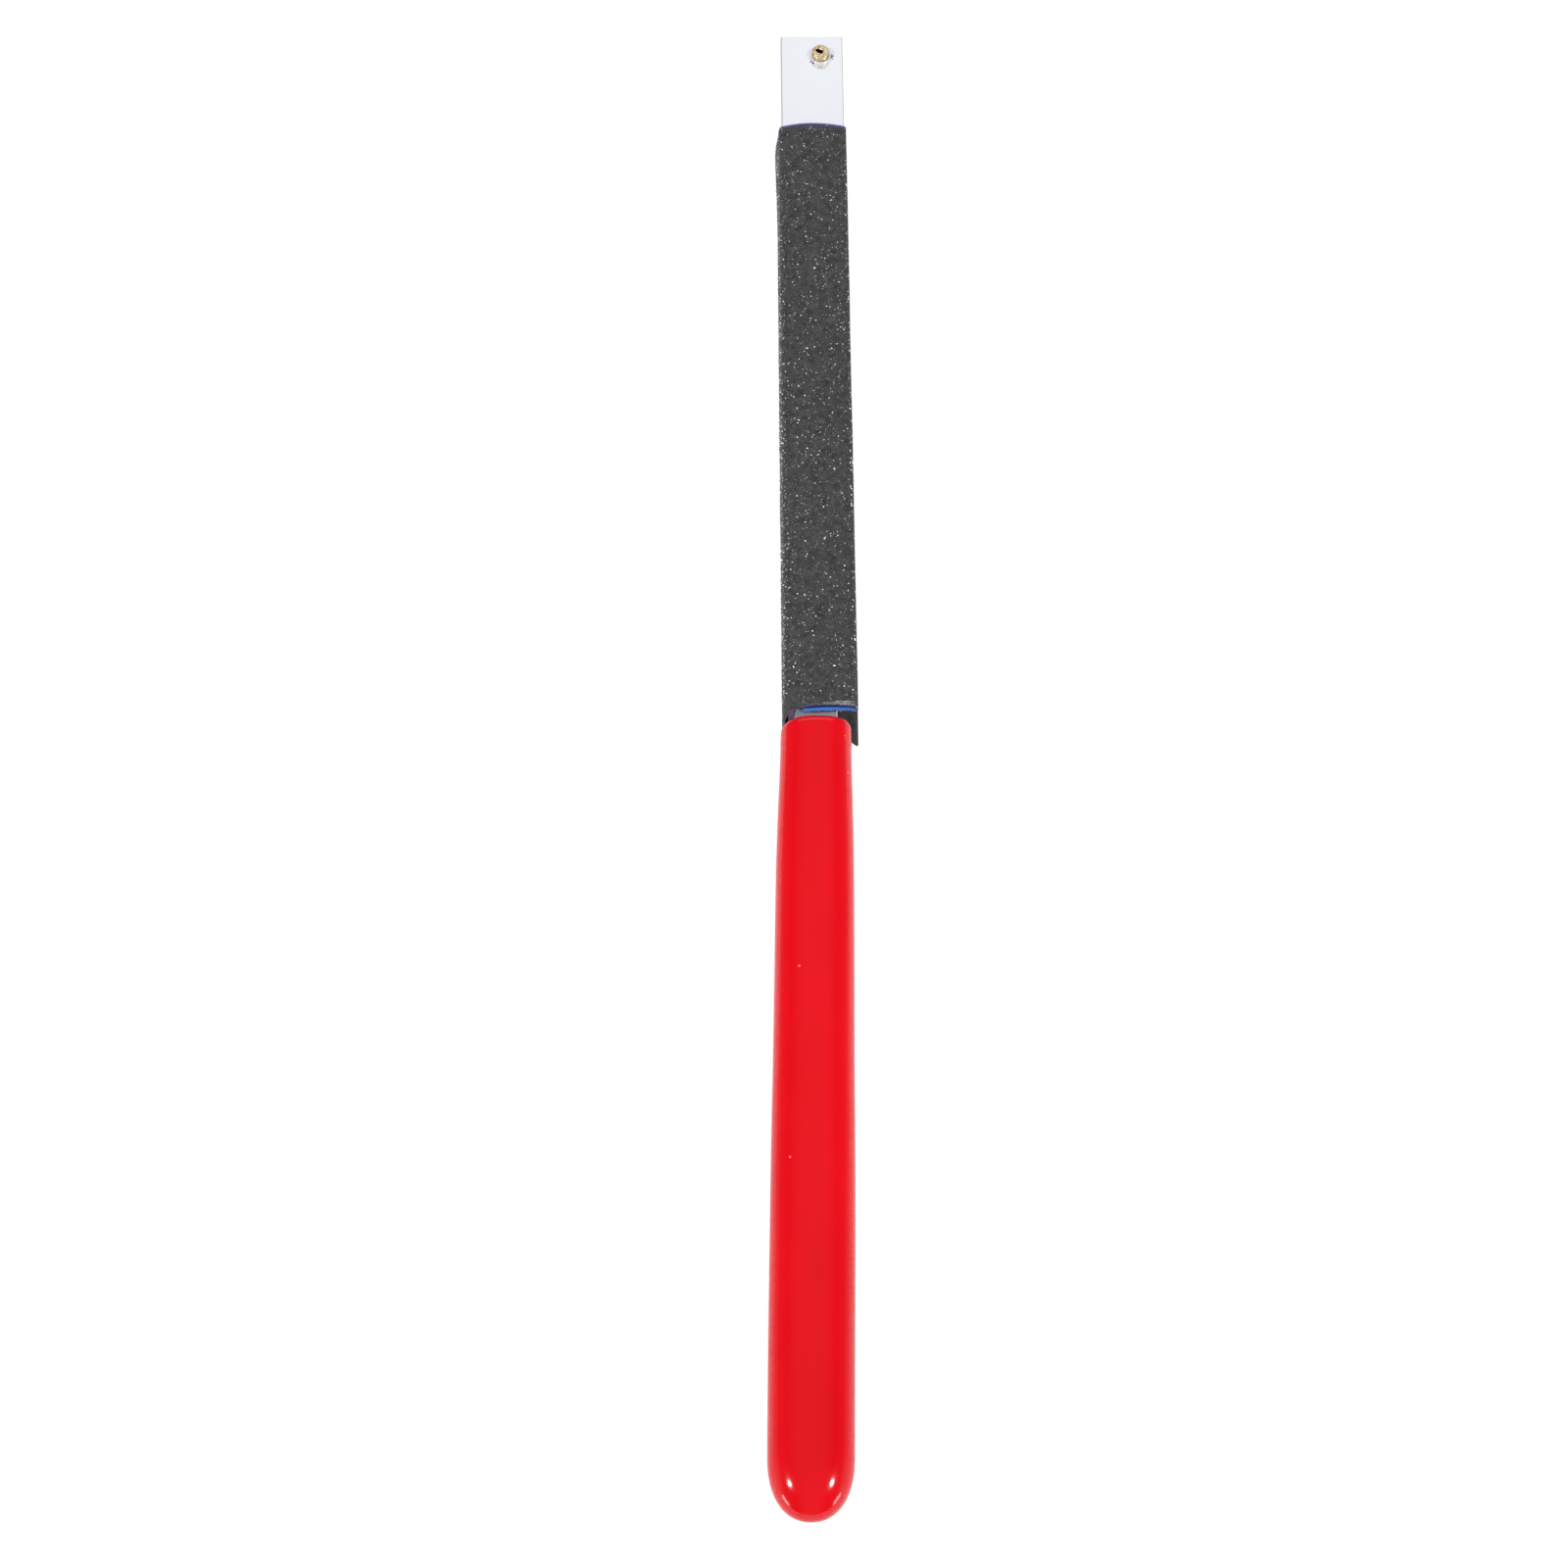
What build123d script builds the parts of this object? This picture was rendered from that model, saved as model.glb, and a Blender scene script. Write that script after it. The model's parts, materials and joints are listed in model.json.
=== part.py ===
from build123d import *
from math import asin, atan, cos, degrees, hypot, radians, sin
import os

# Folding abrasive-cloth file: a handle bar folds into a U-shaped channel like the blade of a pocket
# knife, and clamps the two long edges of an abrasive strip that is wrapped round the channel.
# Working frame: the pivot axis is Z through the origin, +Y runs from the grip to the pivot end of the
# channel, +X points out of the channel's open side, and +Z is the side of the peened rivet end.
# The finished pieces are moved so that the origin is the middle of the base, with the tool on its back.

# Channel: two parallel legs joined by a web on the -X side
channel_length = 179.0
channel_height = 14.5       # web's outer face to the open edge, along X
channel_width = 10.0        # over the two legs, along Z
channel_wall = 1.5
web_edge_radius = 0.35      # on the two outer long edges of the web
leg_edge_radius = 0.2       # on the long edges of the legs' open side
pivot_from_end = 5.9        # rivet axis to the channel's pivot end
pivot_from_edge = 5.15      # rivet axis to the channel's open edge

# Abrasive strip
strip_length = 154.0
strip_thickness = 0.5       # cloth backing and grit coat together
strip_gap = 0.06            # clearance between the strip and the channel's faces
strip_bulge = 1.0           # how far the strip stands off the web
strip_web_radius = 1.4      # turns of the strip round the web, before its clearance
strip_rim_gap = 1.6         # the strip's free end to the grip's rim, closed
flap_width = 11.4           # of each long edge tucked inside the channel

# Handle bar: its pivot end is round, its tang fills the grip
bar_width = 9.0
bar_thickness = 4.7
bar_edge_radius = 0.7
grip_gap = 3.4              # the channel's free end to the grip's rim, closed
tang_length = 152.0
closed_gap = 0.1            # between the bar's edge and the web when the tool is closed

# Grip: soft vinyl, rounded-rectangle section, bullet-shaped end
grip_length = 173.5
grip_depth = 11.12
grip_corner = 0.4           # corner radius as a share of the section's depth
grip_rim_width = 15.0
grip_neck_width = 16.1
grip_waist_width = 16.5
grip_palm_width = 16.95
grip_neck_at = 30.0         # distances from the rim
grip_waist_at = 75.0
grip_palm_at = 125.0
grip_nose_length = 12.5     # the bullet-shaped end
grip_nose_sections = 7
grip_nose_turn = 86.0       # degrees of the nose's quarter ellipse; the rest is a small flat tip
grip_rim_radius = 1.8

# Rivet, its washer and the two spacers
shank_diameter = 3.6
peened_diameter = 4.0
peened_height = 1.65
peened_chamfer = 0.3
rivet_bore = 1.5
rivet_bore_depth = 3.2
factory_head_diameter = 6.4
factory_head_height = 0.45
factory_head_radius = 0.2
washer_diameter = 4.8
washer_thickness = 0.45
spacer_diameter = 7.0
running_clearance = 0.05    # radial and axial play of what turns on the rivet

half_width = channel_width / 2
half_slot = half_width - channel_wall
web_outer_x = pivot_from_edge - channel_height
web_inner_x = web_outer_x + channel_wall
channel_foot_y = pivot_from_end - channel_length
bar_exposed = grip_gap - channel_foot_y  # rivet axis to the grip's rim
strip_start_y = strip_rim_gap + strip_length - bar_exposed


def closing_angle():
    """Angle that the bar leans towards the web, where its edge would meet the web's free end."""
    reach = hypot(bar_width / 2, channel_foot_y)
    return asin((-web_inner_x - closed_gap) / reach) - atan(bar_width / 2 / -channel_foot_y)


def disc(diameter, low, high):
    """Cylinder on the pivot axis between two heights."""
    return Pos(0, 0, (low + high) / 2) * Cylinder(diameter / 2, high - low)


def ring(outer, bore, low, high):
    return disc(outer, low, high) - disc(bore, low, high)


def channel():
    middle_y = (pivot_from_end + channel_foot_y) / 2
    block = Pos((web_outer_x + pivot_from_edge) / 2, middle_y, 0) * Box(
        channel_height, channel_length, channel_width
    )
    block = fillet(block.edges().filter_by(Axis.Y).group_by(Axis.X)[0], web_edge_radius)
    slot_depth = channel_height - channel_wall
    slot = Pos(web_inner_x + slot_depth / 2, middle_y, 0) * Box(
        slot_depth, channel_length, 2 * half_slot
    )
    profile = block - slot
    profile = fillet(profile.edges().filter_by(Axis.Y).group_by(Axis.X)[-1], leg_edge_radius)
    return profile - disc(shank_diameter, -half_width, half_width)


def quarter_turn(start, end, centre):
    """Quarter circle from start to end about a centre."""
    radius = hypot(start[0] - centre[0], start[1] - centre[1])
    to_middle = ((start[0] + end[0]) / 2 - centre[0], (start[1] + end[1]) / 2 - centre[1])
    share = radius / hypot(*to_middle)
    middle = (centre[0] + share * to_middle[0], centre[1] + share * to_middle[1])
    return ThreePointArc(start, middle, end)


def strip_side(offset):
    """Path of one face of the strip, at a distance from the channel's faces, from flap to flap."""
    flap_end_x = pivot_from_edge - flap_width
    slot_z = half_slot - offset
    top_z = half_width + offset
    nose_x = pivot_from_edge + offset
    web_x = web_outer_x - strip_bulge - offset
    edge_x = pivot_from_edge - leg_edge_radius
    low_z = half_slot + leg_edge_radius
    high_z = half_width - leg_edge_radius
    turn_x = web_outer_x - strip_bulge + strip_web_radius
    turn_z = half_width - strip_web_radius
    half = [
        Line((flap_end_x, slot_z), (edge_x, slot_z)),
        quarter_turn((edge_x, slot_z), (nose_x, low_z), (edge_x, low_z)),
        Line((nose_x, low_z), (nose_x, high_z)),
        quarter_turn((nose_x, high_z), (edge_x, top_z), (edge_x, high_z)),
        Line((edge_x, top_z), (turn_x, top_z)),
        quarter_turn((turn_x, top_z), (web_x, turn_z), (turn_x, turn_z)),
    ]
    back = [edge.mirror(Plane.XZ) for edge in half]
    return half + [Line((web_x, turn_z), (web_x, -turn_z))] + back


def abrasive_strip():
    inner = strip_side(strip_gap)
    outer = strip_side(strip_gap + strip_thickness)
    flap_end_x = pivot_from_edge - flap_width
    near = half_slot - strip_gap
    far = near - strip_thickness
    ends = [Line((flap_end_x, side * near), (flap_end_x, side * far)) for side in (1, -1)]
    section = make_face(inner + outer + ends)
    across = Plane(origin=(0, strip_start_y, 0), x_dir=(1, 0, 0), z_dir=(0, -1, 0))
    return extrude(across * section, strip_length)


def bar():
    length = bar_exposed + tang_length
    outline = Pos(0, -length / 2) * Rectangle(bar_width, length) + Circle(bar_width / 2)
    solid = extrude(outline, bar_thickness / 2, both=True)
    faces = solid.faces().sort_by(Axis.Z)
    rims = faces[0].outer_wire().edges() + faces[-1].outer_wire().edges()
    solid = fillet(rims, bar_edge_radius)
    half = bar_thickness / 2
    return solid - disc(shank_diameter + 2 * running_clearance, -half, half)


def grip_section(distance, width, depth):
    across = Plane(origin=(0, -bar_exposed - distance, 0), x_dir=(1, 0, 0), z_dir=(0, -1, 0))
    return across * RectangleRounded(width, depth, grip_corner * depth)


def grip(tang):
    nose_at = grip_length - grip_nose_length
    sections = [
        grip_section(0, grip_rim_width, grip_depth),
        grip_section(grip_neck_at, grip_neck_width, grip_depth),
        grip_section(grip_waist_at, grip_waist_width, grip_depth),
        grip_section(grip_palm_at, grip_palm_width, grip_depth),
        grip_section(nose_at, grip_palm_width, grip_depth),
    ]
    body = loft(sections)
    nose = []
    for step in range(grip_nose_sections):
        turn = radians(grip_nose_turn * step / (grip_nose_sections - 1))
        share = cos(turn)
        along = nose_at + grip_nose_length * sin(turn)
        nose.append(grip_section(along, grip_palm_width * share, grip_depth * share))
    shell = body + loft(nose)
    rim = shell.faces().sort_by(Axis.Y)[-1]
    shell = fillet(rim.outer_wire().edges(), grip_rim_radius)
    return shell - tang


def rivet():
    front = half_width + washer_thickness
    top = front + peened_height
    back = -half_width - factory_head_height
    head = disc(factory_head_diameter, back, -half_width)
    head = fillet(head.edges().group_by(Axis.Z)[0], factory_head_radius)
    peened = disc(peened_diameter, front, top)
    peened = chamfer(peened.edges().group_by(Axis.Z)[-1], peened_chamfer)
    shank = disc(shank_diameter, -half_width, front)
    return shank + head + peened - disc(rivet_bore, top - rivet_bore_depth, top)


def spacer(side):
    near = side * (bar_thickness / 2 + running_clearance)
    far = side * half_slot
    return ring(spacer_diameter, shank_diameter, min(near, far), max(near, far))


def pieces():
    handle_turn = Rot(0, 0, -degrees(closing_angle()))
    straight_bar = bar()
    return {
        "holder_channel": channel(),
        "handle_bar": handle_turn * straight_bar,
        "vinyl_grip": handle_turn * grip(straight_bar),
        "pivot_rivet": rivet(),
        "rivet_washer": ring(
            washer_diameter, shank_diameter, half_width, half_width + washer_thickness
        ),
        "spacer_front": spacer(1),
        "spacer_back": spacer(-1),
        "abrasive_strip": abrasive_strip(),
    }


solids = pieces()
box = Compound(list(solids.values())).bounding_box()
pivot = Vector(-box.center().X, -box.center().Y, -box.min.Z)
os.makedirs("parts", exist_ok=True)
for name, solid in solids.items():
    export_step(Pos(*pivot) * solid, os.path.join("parts", name + ".step"))

print("size", round(box.size.X, 2), round(box.size.Y, 2), round(box.size.Z, 2))
print("pivot axis at", round(pivot.X, 3), round(pivot.Y, 3), "mid height", round(pivot.Z, 3))
print("closed lean", round(degrees(closing_angle()), 3), "degrees")
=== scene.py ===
import json
import math
import random

import bmesh
import bpy
from mathutils import Matrix, Vector, noise


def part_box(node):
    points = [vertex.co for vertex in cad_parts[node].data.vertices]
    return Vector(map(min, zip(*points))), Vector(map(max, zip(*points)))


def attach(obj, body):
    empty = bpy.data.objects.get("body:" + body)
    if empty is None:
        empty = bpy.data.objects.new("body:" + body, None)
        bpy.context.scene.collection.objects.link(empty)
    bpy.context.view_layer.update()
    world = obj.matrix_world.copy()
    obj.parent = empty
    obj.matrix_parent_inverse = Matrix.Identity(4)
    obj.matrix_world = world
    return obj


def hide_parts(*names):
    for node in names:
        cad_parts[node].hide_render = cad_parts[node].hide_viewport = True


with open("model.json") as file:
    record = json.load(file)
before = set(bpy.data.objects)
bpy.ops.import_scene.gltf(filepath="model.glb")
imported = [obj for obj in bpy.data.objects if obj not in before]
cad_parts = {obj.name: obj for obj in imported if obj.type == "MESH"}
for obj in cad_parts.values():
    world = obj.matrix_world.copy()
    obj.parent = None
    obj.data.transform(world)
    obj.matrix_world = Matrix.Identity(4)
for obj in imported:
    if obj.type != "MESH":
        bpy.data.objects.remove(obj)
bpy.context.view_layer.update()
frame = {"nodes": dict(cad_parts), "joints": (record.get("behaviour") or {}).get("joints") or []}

mm = 0.001

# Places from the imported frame
jointNamed = {joint["name"]: joint for joint in frame["joints"]}
pivot = Vector(jointNamed["handle_fold"]["pos_m"])
channelLow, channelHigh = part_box("holder_channel")
stripLow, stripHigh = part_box("abrasive_strip")
rivetLow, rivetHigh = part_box("pivot_rivet")
washerLow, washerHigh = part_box("rivet_washer")


def handleTurn():  # the handle's lean about the pivot when the tool is closed
    corners = [v.co for v in frame["nodes"]["vinyl_grip"].data.vertices]
    lowest = min(corner.y for corner in corners)
    tip = [corner for corner in corners if corner.y < lowest + 0.05 * mm]
    way = sum(tip, Vector()) / len(tip) - pivot
    return math.atan2(way.x, -way.y)


handleFrame = Matrix.Translation(pivot) @ Matrix.Rotation(handleTurn(), 4, "Z")


def handleBox(node):  # a node's corners in the handle's own straight frame
    inverse = handleFrame.inverted()
    points = [inverse @ v.co for v in frame["nodes"][node].data.vertices]
    low = Vector(min(p[k] for p in points) for k in range(3))
    high = Vector(max(p[k] for p in points) for k in range(3))
    return low, high


barLow, barHigh = handleBox("handle_bar")
gripLow, gripHigh = handleBox("vinyl_grip")


# Shader building

class Field:  # a socket that shader maths is written with
    def __init__(self, look, socket):
        self.look = look
        self.socket = socket

    def maths(self, operation, *values):
        return self.look.add("Math", {"operation": operation}, dict(enumerate(values)))

    def __add__(self, other):
        return self.maths("ADD", self, other)

    def __sub__(self, other):
        return self.maths("SUBTRACT", self, other)

    def __rsub__(self, other):
        return self.maths("SUBTRACT", other, self)

    def __mul__(self, other):
        return self.maths("MULTIPLY", self, other)

    def __pow__(self, other):
        return self.maths("POWER", self, other)

    def __gt__(self, other):
        return self.maths("GREATER_THAN", self, other)

    def __lt__(self, other):
        return self.maths("LESS_THAN", self, other)


class Look:  # one material round a Principled shader
    def __init__(self, name, fixed):
        self.material = bpy.data.materials.new(name)
        self.material.use_nodes = True
        self.nodes = self.material.node_tree.nodes
        self.links = self.material.node_tree.links
        self.shader = self.nodes["Principled BSDF"]
        for socket, value in fixed.items():
            self.shader.inputs[socket].default_value = value

    def add(self, kind, settings=None, values=None, output=0):
        node = self.nodes.new("ShaderNode" + kind)
        for name, setting in (settings or {}).items():
            if name == "stops":
                self.setStops(node.color_ramp, setting)
            else:
                setattr(node, name, setting)
        for name, value in (values or {}).items():
            if isinstance(value, Field):
                self.links.new(value.socket, node.inputs[name])
            else:
                node.inputs[name].default_value = value
        return Field(self, node.outputs[output])

    def setStops(self, ramp, stops):
        while len(ramp.elements) < len(stops):
            ramp.elements.new(0.5)
        for element, (place, colour) in zip(ramp.elements, stops):
            element.position = place
            element.color = (*colour, 1)

    def place(self, stretch=(1, 1, 1)):  # object coordinates, stretched
        where = self.add("TexCoord", output="Object")
        return self.add("Mapping", None, {"Vector": where, "Scale": stretch})

    def cloudy(self, where, size, detail=2.0, rough=0.5):  # noise with features of a size in metres
        values = {"Vector": where, "Scale": 1 / size, "Detail": detail, "Roughness": rough}
        return self.add("TexNoise", None, values)

    def cells(self, where, size, output):
        return self.add("TexVoronoi", None, {"Vector": where, "Scale": 1 / size}, output)

    def ramp(self, factor, *stops):
        return self.add("ValToRGB", {"stops": stops}, {"Fac": factor})

    def colours(self, factor, first, second):
        settings = {"data_type": "RGBA"}
        first, second = [c if isinstance(c, Field) else (*c, 1) for c in (first, second)]
        return self.add("Mix", settings, {0: factor, 6: first, 7: second}, 2)

    def axis(self, where, number):  # one coordinate of a vector
        return self.add("SeparateXYZ", None, {0: where}, number)

    def fade(self, value, start, end, first, last):  # from one level to another between two places
        reach = {"Value": value, "From Min": start, "From Max": end, "To Min": first, "To Max": last}
        return self.add("MapRange", None, reach)

    def feed(self, socket, field):
        self.links.new(field.socket, self.shader.inputs[socket])

    def relief(self, height, strength, depth):
        values = {"Height": height, "Strength": strength, "Distance": depth}
        self.feed("Normal", self.add("Bump", None, values))


def channelMetal():
    setup = {
        "streak": 0.09 * mm, "smear": 9 * mm, "dust": 0.9 * mm, "dustReach": 0.06, "rough": 0.13,
        "shades": ((0.3, (0.86, 0.88, 0.93)), (0.7, (0.89, 0.91, 0.95))), "dustColour": (0.55, 0.56, 0.6),
    }
    look = Look("channelMetal", {"Metallic": 0.5})
    streaks = look.cloudy(look.place((1, 0.012, 1)), setup["streak"], 3)
    smears = look.cloudy(look.place(), setup["smear"], 4, 0.6)
    dust = look.cells(look.place(), setup["dust"], "Distance") < setup["dustReach"]
    shade = look.ramp(smears, *setup["shades"])
    look.feed("Base Color", look.colours(dust * 0.35, shade, setup["dustColour"]))
    look.feed("Roughness", streaks * 0.08 + smears * 0.1 + setup["rough"])
    look.relief(streaks + smears * 0.3, 0.12, 0.01 * mm)
    return look.material


def sawnMetal():
    setup = {"cut": 0.12 * mm, "shades": ((0.3, (0.84, 0.85, 0.87)), (0.7, (0.97, 0.97, 0.98)))}
    look = Look("sawnMetal", {"Metallic": 0.1})
    cuts = look.cloudy(look.place((1, 1, 0.15)), setup["cut"], 3, 0.6)
    look.feed("Base Color", look.ramp(cuts, *setup["shades"]))
    look.feed("Roughness", cuts * 0.2 + 0.4)
    look.relief(cuts, 0.35, 0.03 * mm)
    return look.material


def barMetal():
    setup = {
        "streak": 0.12 * mm, "smear": 7 * mm, "rough": 0.13,
        "shades": ((0.3, (0.78, 0.79, 0.84)), (0.7, (0.88, 0.89, 0.93))),
    }
    look = Look("barMetal", {"Metallic": 0.7})
    streaks = look.cloudy(look.place((1, 0.02, 1)), setup["streak"], 4)
    smears = look.cloudy(look.place(), setup["smear"], 4, 0.6)
    look.feed("Base Color", look.ramp(smears, *setup["shades"]))
    look.feed("Roughness", streaks * 0.1 + smears * 0.08 + setup["rough"])
    look.relief(streaks, 0.1, 0.01 * mm)
    return look.material


def washerMetal():
    setup = {"mark": 0.3 * mm, "shades": ((0.3, (0.78, 0.77, 0.78)), (0.5, (0.98, 0.97, 0.96)))}
    look = Look("washerMetal", {"Metallic": 0.25})
    marks = look.cloudy(look.place(), setup["mark"], 3)
    look.feed("Base Color", look.ramp(marks, *setup["shades"]))
    look.feed("Roughness", marks * 0.2 + 0.1)
    look.relief(marks, 0.3, 0.03 * mm)
    return look.material


def darkFilings():
    setup = {"grime": 0.2 * mm, "shades": ((0.35, (0.03, 0.03, 0.05)), (0.65, (0.18, 0.18, 0.24)))}
    look = Look("darkFilings", {"Metallic": 0.6})
    grime = look.cloudy(look.place(), setup["grime"], 2)
    look.feed("Base Color", look.ramp(grime, *setup["shades"]))
    look.feed("Roughness", grime * 0.3 + 0.3)
    look.relief(grime, 0.3, 0.02 * mm)
    return look.material


def brass():
    setup = {
        # depths below the rivet's top: where the hole's painted shade starts, and where the head's side is
        # painted darker as shade
        "holeShade": 0.3 * mm, "skirt": 1.05 * mm, "holeShadeRadius": 1.35 * mm, "dent": 0.42 * mm, "stain": 0.8 * mm,
        "shades": ((0.38, (0.26, 0.14, 0.05)), (0.45, (0.90, 0.64, 0.32)), (0.55, (1.0, 0.87, 0.60))),
        # the tarnish brown colours the stains and also the painted shade on the head's lower side; dark is
        # the painted shade inside the hole
        "tarnishAndShade": (0.16, 0.10, 0.05), "dark": (0.02, 0.008, 0.003),
    }
    top = rivetHigh.z - pivot.z
    look = Look("rivetBrass", {"Metallic": 0.7})
    where = look.place()
    dents = look.cloudy(where, setup["dent"], 4, 0.65)
    stains = look.cloudy(where, setup["stain"], 3, 0.6)
    fromAxis = look.add("VectorMath", {"operation": "SUBTRACT"}, {0: where, 1: pivot})
    x, y, z = [look.axis(fromAxis, k) for k in range(3)]
    # painted shade: the hole is coloured near black below its rim
    holeShade = ((x * x + y * y) ** 0.5 < setup["holeShadeRadius"]) * (z < top - setup["holeShade"]) * (z > 0)
    # painted shade: the head's side below the skirt depth is darkened with the same brown as the stains
    under = z < top - setup["skirt"]
    shade = look.ramp(dents, *setup["shades"])
    tarnishedAndShaded = look.colours((stains > 0.62) * 0.6 + under * 0.55, shade, setup["tarnishAndShade"])
    look.feed("Base Color", look.colours(holeShade, tarnishedAndShaded, setup["dark"]))
    look.feed("Roughness", stains * 0.3 + holeShade * 0.5 + 0.1)
    look.relief(dents, 0.7, 0.09 * mm)
    return look.material


def gripVinyl():
    setup = {
        "drift": 9 * mm, "skin": 0.6 * mm, "bubble": 4.2 * mm, "bubbleReach": 0.055, "bubbleChance": 0.62,
        "reds": ((0.3, (0.84, 0.002, 0.008)), (0.7, (0.90, 0.003, 0.010))),
        "bubbleColour": (1.0, 0.42, 0.42),
        # the red is painted darker towards the tip: painted shade
        "tipShadeRed": (0.16, 0.0, 0.001), "tipShadeReach": 80 * mm, "tipShadeShare": 0.11, "rough": 0.085,
    }
    tip = gripLow.y + pivot.y
    look = Look("gripVinyl", {"Specular IOR Level": 0.5})
    where = look.place()
    drift = look.cloudy(look.place((1, 0.3, 1)), setup["drift"], 2)
    skin = look.cloudy(where, setup["skin"], 2)
    chance = look.cells(where, setup["bubble"], "Color")
    near = look.cells(where, setup["bubble"], "Distance") < setup["bubbleReach"]
    bubbles = near * (chance > setup["bubbleChance"])
    base = look.ramp(drift, *setup["reds"])
    # painted shade: the red darkens over the last stretch towards the tip
    depth = look.fade(look.axis(where, 1), tip, tip + setup["tipShadeReach"], setup["tipShadeShare"], 0.0)
    tipShaded = look.colours(depth, base, setup["tipShadeRed"])
    look.feed("Base Color", look.colours(bubbles * 0.7, tipShaded, setup["bubbleColour"]))
    look.feed("Roughness", drift * 0.05 + skin * 0.03 + setup["rough"])
    look.relief(drift + skin * 0.03 + bubbles * 0.2, 0.25, 0.05 * mm)
    return look.material


def gritCoat(length):
    setup = {
        "grain": 0.28 * mm, "clump": 1.6 * mm, "glintFacet": (0.26, 0.26, 0.26),
        "greys": ((0.36, (0.020, 0.020, 0.020)), (0.64, (0.098, 0.098, 0.098))),
        # at the pivot's end the grit is tinted purple, and the last thread is blue
        "edgeTintReach": 1.5 * mm, "edgeTint": (0.085, 0.075, 0.19),
        "lastThread": 0.4 * mm, "blue": (0.22, 0.26, 0.68),
    }
    look = Look("gritCoat", {"Specular IOR Level": 0.25})
    where = look.place()
    clumps = look.cloudy(where, setup["clump"], 3, 0.6)
    fine = look.cloudy(where, setup["grain"], 3, 0.7)
    tone = look.cells(where, setup["grain"], "Color")
    away = look.cells(where, setup["grain"], "Distance")
    dark = look.ramp(fine * 0.6 + clumps * 0.4, *setup["greys"])
    # painted glint: scattered grains are coloured light grey and made glossier
    glintSpots = (tone > 0.78) * (away < 0.3)
    base = look.colours(glintSpots * 0.8, dark, setup["glintFacet"])
    along = look.axis(look.add("UVMap", {"uv_map": "flat"}), 1)
    edge = look.fade(along, length - setup["edgeTintReach"], length, 0.0, 0.7) * fine * 1.6
    edgeTinted = look.colours(edge, base, setup["edgeTint"])
    last = (along > length - setup["lastThread"]) * (fine * 0.5 + 0.45)
    look.feed("Base Color", look.colours(last, edgeTinted, setup["blue"]))
    look.feed("Roughness", 0.62 - glintSpots * 0.3 + clumps * 0.1)
    look.relief(fine * 0.6 - away * 0.7, 0.8, 0.12 * mm)
    return look.material


def clothBacking():
    setup = {
        "thread": 0.34 * mm, "fibre": 0.12 * mm,
        "blues": ((0.2, (0.018, 0.085, 0.42)), (0.8, (0.12, 0.32, 0.82))),
    }
    look = Look("clothBacking", {"Specular IOR Level": 0.2, "Sheen Weight": 0.2})
    flat = look.add("UVMap", {"uv_map": "flat"})
    across, along = [look.axis(flat, k) * (2 * math.pi / setup["thread"]) for k in range(2)]
    weave = across.maths("SINE", across) * along.maths("SINE", along) * 0.5 + 0.5
    fibres = look.cloudy(look.place(), setup["fibre"], 3)
    tone = weave * 0.6 + fibres * 0.4
    look.feed("Base Color", look.ramp(tone, *setup["blues"]))
    look.feed("Roughness", fibres * 0.2 + 0.7)
    look.relief(tone, 0.6, 0.08 * mm)
    return look.material


def cutEdge():  # blue threads at the pivot's end, grey and frayed at the grip's
    setup = {
        "thread": 0.35 * mm,
        "blues": ((0.36, (0.07, 0.09, 0.30)), (0.5, (0.17, 0.23, 0.72)), (0.66, (0.44, 0.52, 0.95))),
        "greys": ((0.40, (0.04, 0.04, 0.045)), (0.52, (0.15, 0.15, 0.16)), (0.66, (0.45, 0.45, 0.46))),
    }
    look = Look("cutEdge", {"Specular IOR Level": 0.2})
    threads = look.cloudy(look.place((1, 1, 0.4)), setup["thread"], 4, 0.7)
    blue = look.ramp(threads, *setup["blues"])
    grey = look.ramp(threads, *setup["greys"])
    look.feed("Base Color", look.colours(look.axis(look.place(), 1) > 0, grey, blue))
    look.feed("Roughness", threads * 0.2 + 0.7)
    look.relief(threads, 0.6, 0.1 * mm)
    return look.material


def fringeThread():
    setup = {"fibre": 0.5 * mm, "shades": ((0.35, (0.24, 0.25, 0.33)), (0.6, (0.62, 0.61, 0.58)))}
    look = Look("fringeThread", {"Specular IOR Level": 0.2})
    fibres = look.cloudy(look.place(), setup["fibre"], 3)
    look.feed("Base Color", look.ramp(fibres, *setup["shades"]))
    look.feed("Roughness", fibres * 0.2 + 0.7)
    look.relief(fibres, 0.5, 0.05 * mm)
    return look.material


def sparkleGrain():  # grains of grit whose facets catch the light, and whose colour also glows as a painted glint
    setup = {
        "patch": 0.5 * mm, "glintFacet": 0.1 * mm,
        "greys": ((0.42, (0.08, 0.08, 0.08)), (0.56, (0.24, 0.24, 0.24)), (0.66, (0.95, 0.95, 0.93))),
    }
    # the grains' colour glows through emission: painted glint
    look = Look("sparkleGrain", {"Specular IOR Level": 0.9, "Emission Strength": 0.8})
    tone = look.cloudy(look.place(), setup["patch"], 1)
    paintedGlint = look.ramp(tone, *setup["greys"])
    look.feed("Base Color", paintedGlint)
    look.feed("Emission Color", paintedGlint)
    look.feed("Roughness", tone * 0.2 + 0.1)
    look.relief(look.cloudy(look.place(), setup["glintFacet"], 1), 0.3, 0.02 * mm)
    return look.material


# Mesh building

sharp = 1.2  # radians between two faces


def finish(bm, name, looks, body, smooth=True):  # smooth=False keeps each face's own shading
    mesh = bpy.data.meshes.new(name)
    if smooth:
        for face in bm.faces:
            face.smooth = True
    bm.to_mesh(mesh)
    bm.free()
    for look in looks:
        mesh.materials.append(look)
    piece = bpy.data.objects.new(name, mesh)
    bpy.context.collection.objects.link(piece)
    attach(piece, body)
    print("made", name, len(mesh.polygons), "faces")
    return piece


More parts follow.
